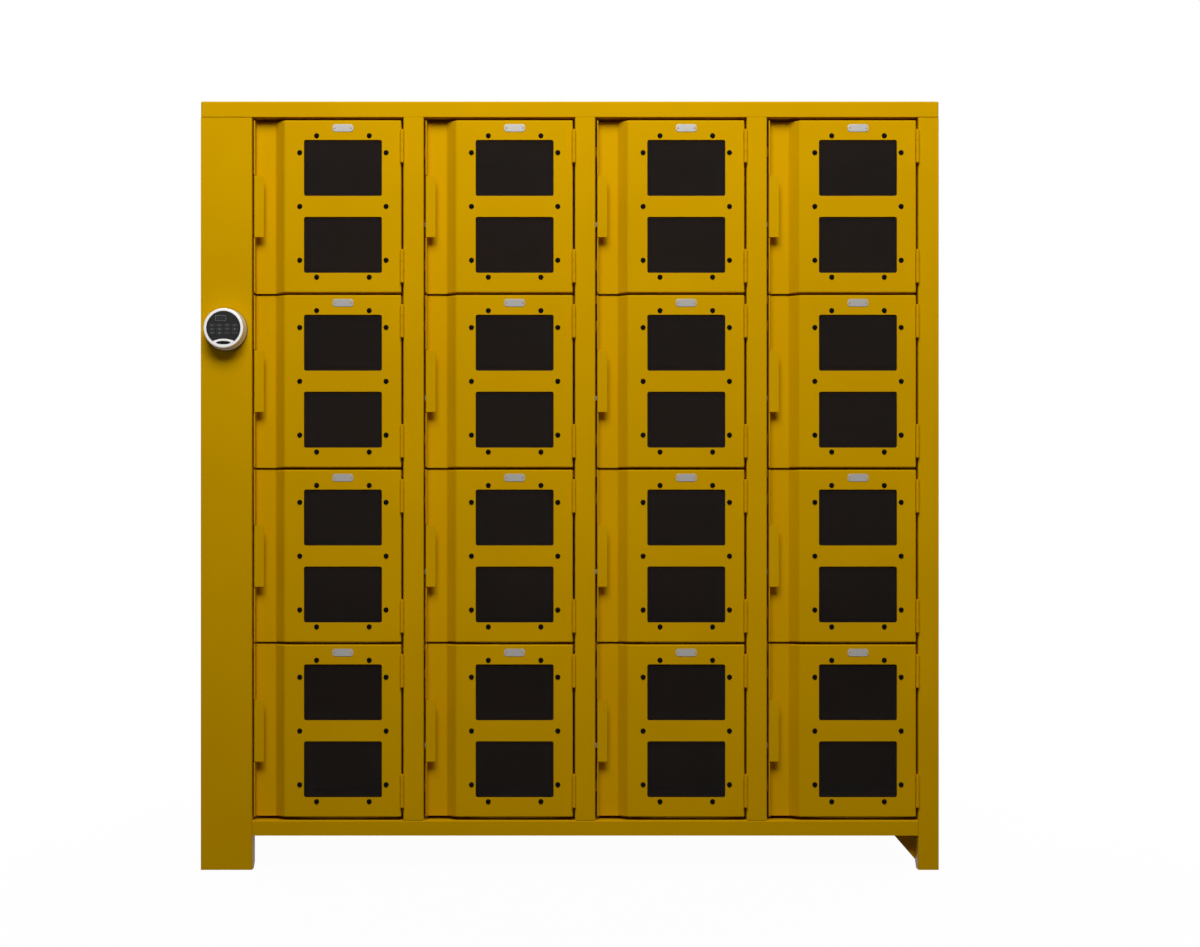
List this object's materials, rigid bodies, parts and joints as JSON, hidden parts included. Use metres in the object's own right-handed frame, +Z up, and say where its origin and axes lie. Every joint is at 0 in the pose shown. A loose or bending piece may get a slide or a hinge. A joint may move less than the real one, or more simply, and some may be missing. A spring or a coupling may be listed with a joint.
{
  "type": "multi-compartment steel locker",
  "caption": "Wide heavy-duty steel locker on short legs, with hinged window doors in a grid, pull lips in recesses, and one round keypad dial that lifts the bars of a central lock.",
  "frame": {"origin": "on the floor, under the middle of the whole object's box, keypad included", "axes": "+X to the right seen from the front, +Y from the front to the back, +Z up"},
  "size_m": [1.8288, 0.6516, 1.905],
  "materials": {
    "yellow_powder_coat": "satin",
    "plated_steel": "satin",
    "cast_zinc": "satin",
    "black_rubber": "matte",
    "black_plastic": "matte",
    "satin_chrome": "satin",
    "black_keys": "satin",
    "display_lens": "gloss",
    "circuit_green": "satin",
    "smoke_polycarbonate": "gloss"
  },
  "bodies": {
    "cabinet": {"side_panel_left": "yellow_powder_coat", "side_panel_right": "yellow_powder_coat", "back_panel": "yellow_powder_coat", "roof_cap": "yellow_powder_coat", "ceiling_panel": "yellow_powder_coat", "floor_pan": "yellow_powder_coat", "lock_panel": "yellow_powder_coat", "right_stile": "yellow_powder_coat", "centre_posts": "yellow_powder_coat", "partitions": "yellow_powder_coat", "shelves": "yellow_powder_coat", "legs": "yellow_powder_coat", "leg_gussets": "yellow_powder_coat", "hinge_frame_leaves": "yellow_powder_coat", "hinge_pins": "plated_steel", "door_stops": "yellow_powder_coat", "stop_bumpers": "black_rubber", "bar_guides": "plated_steel", "lock_case": "cast_zinc", "keypad_base": "black_plastic"},
    "lock_bar_set": {"lock_bars": "plated_steel", "tie_bar": "plated_steel", "drive_rack": "plated_steel"},
    "dial": {"dial_housing": "satin_chrome", "key_mat": "black_keys", "display_window": "display_lens", "dial_spindle": "plated_steel", "keypad_electronics": "circuit_green"},
    "door_r1c1": {"door_r1c1": "yellow_powder_coat", "window_r1c1": "smoke_polycarbonate"},
    "door_r1c2": {"door_r1c2": "yellow_powder_coat", "window_r1c2": "smoke_polycarbonate"},
    "door_r1c3": {"door_r1c3": "yellow_powder_coat", "window_r1c3": "smoke_polycarbonate"},
    "door_r1c4": {"door_r1c4": "yellow_powder_coat", "window_r1c4": "smoke_polycarbonate"},
    "door_r2c1": {"door_r2c1": "yellow_powder_coat", "window_r2c1": "smoke_polycarbonate"},
    "door_r2c2": {"door_r2c2": "yellow_powder_coat", "window_r2c2": "smoke_polycarbonate"},
    "door_r2c3": {"door_r2c3": "yellow_powder_coat", "window_r2c3": "smoke_polycarbonate"},
    "door_r2c4": {"door_r2c4": "yellow_powder_coat", "window_r2c4": "smoke_polycarbonate"},
    "door_r3c1": {"door_r3c1": "yellow_powder_coat", "window_r3c1": "smoke_polycarbonate"},
    "door_r3c2": {"door_r3c2": "yellow_powder_coat", "window_r3c2": "smoke_polycarbonate"},
    "door_r3c3": {"door_r3c3": "yellow_powder_coat", "window_r3c3": "smoke_polycarbonate"},
    "door_r3c4": {"door_r3c4": "yellow_powder_coat", "window_r3c4": "smoke_polycarbonate"},
    "door_r4c1": {"door_r4c1": "yellow_powder_coat", "window_r4c1": "smoke_polycarbonate"},
    "door_r4c2": {"door_r4c2": "yellow_powder_coat", "window_r4c2": "smoke_polycarbonate"},
    "door_r4c3": {"door_r4c3": "yellow_powder_coat", "window_r4c3": "smoke_polycarbonate"},
    "door_r4c4": {"door_r4c4": "yellow_powder_coat", "window_r4c4": "smoke_polycarbonate"}
  },
  "joints": [
    {"name": "bars_lift", "type": "slide", "parent": "cabinet", "child": "lock_bar_set", "axis": [0, 0, 1], "range_m": [0, 0.02513]},
    {"name": "dial_turn", "type": "hinge", "parent": "cabinet", "child": "dial", "pos_m": [-0.8509, -0.2838, 1.3385], "axis": [0, -1, 0], "range_deg": [0, 90]},
    {"name": "door_r1c1_swing", "type": "hinge", "parent": "cabinet", "child": "door_r1c1", "pos_m": [-0.41525, -0.2888, 1.43075], "axis": [0, 0, 1], "range_deg": [0, 110]},
    {"name": "door_r1c2_swing", "type": "hinge", "parent": "cabinet", "child": "door_r1c2", "pos_m": [0.0102, -0.2888, 1.43075], "axis": [0, 0, 1], "range_deg": [0, 110]},
    {"name": "door_r1c3_swing", "type": "hinge", "parent": "cabinet", "child": "door_r1c3", "pos_m": [0.43565, -0.2888, 1.43075], "axis": [0, 0, 1], "range_deg": [0, 110]},
    {"name": "door_r1c4_swing", "type": "hinge", "parent": "cabinet", "child": "door_r1c4", "pos_m": [0.8611, -0.2888, 1.43075], "axis": [0, 0, 1], "range_deg": [0, 110]},
    {"name": "door_r2c1_swing", "type": "hinge", "parent": "cabinet", "child": "door_r2c1", "pos_m": [-0.41525, -0.2888, 0.9975], "axis": [0, 0, 1], "range_deg": [0, 110]},
    {"name": "door_r2c2_swing", "type": "hinge", "parent": "cabinet", "child": "door_r2c2", "pos_m": [0.0102, -0.2888, 0.9975], "axis": [0, 0, 1], "range_deg": [0, 110]},
    {"name": "door_r2c3_swing", "type": "hinge", "parent": "cabinet", "child": "door_r2c3", "pos_m": [0.43565, -0.2888, 0.9975], "axis": [0, 0, 1], "range_deg": [0, 110]},
    {"name": "door_r2c4_swing", "type": "hinge", "parent": "cabinet", "child": "door_r2c4", "pos_m": [0.8611, -0.2888, 0.9975], "axis": [0, 0, 1], "range_deg": [0, 110]},
    {"name": "door_r3c1_swing", "type": "hinge", "parent": "cabinet", "child": "door_r3c1", "pos_m": [-0.41525, -0.2888, 0.56425], "axis": [0, 0, 1], "range_deg": [0, 110]},
    {"name": "door_r3c2_swing", "type": "hinge", "parent": "cabinet", "child": "door_r3c2", "pos_m": [0.0102, -0.2888, 0.56425], "axis": [0, 0, 1], "range_deg": [0, 110]},
    {"name": "door_r3c3_swing", "type": "hinge", "parent": "cabinet", "child": "door_r3c3", "pos_m": [0.43565, -0.2888, 0.56425], "axis": [0, 0, 1], "range_deg": [0, 110]},
    {"name": "door_r3c4_swing", "type": "hinge", "parent": "cabinet", "child": "door_r3c4", "pos_m": [0.8611, -0.2888, 0.56425], "axis": [0, 0, 1], "range_deg": [0, 110]},
    {"name": "door_r4c1_swing", "type": "hinge", "parent": "cabinet", "child": "door_r4c1", "pos_m": [-0.41525, -0.2888, 0.131], "axis": [0, 0, 1], "range_deg": [0, 110]},
    {"name": "door_r4c2_swing", "type": "hinge", "parent": "cabinet", "child": "door_r4c2", "pos_m": [0.0102, -0.2888, 0.131], "axis": [0, 0, 1], "range_deg": [0, 110]},
    {"name": "door_r4c3_swing", "type": "hinge", "parent": "cabinet", "child": "door_r4c3", "pos_m": [0.43565, -0.2888, 0.131], "axis": [0, 0, 1], "range_deg": [0, 110]},
    {"name": "door_r4c4_swing", "type": "hinge", "parent": "cabinet", "child": "door_r4c4", "pos_m": [0.8611, -0.2888, 0.131], "axis": [0, 0, 1], "range_deg": [0, 110]}
  ],
  "couplings": [
    {"joint": "dial_turn", "follows": "bars_lift", "rad_per_m": 62.5}
  ]
}
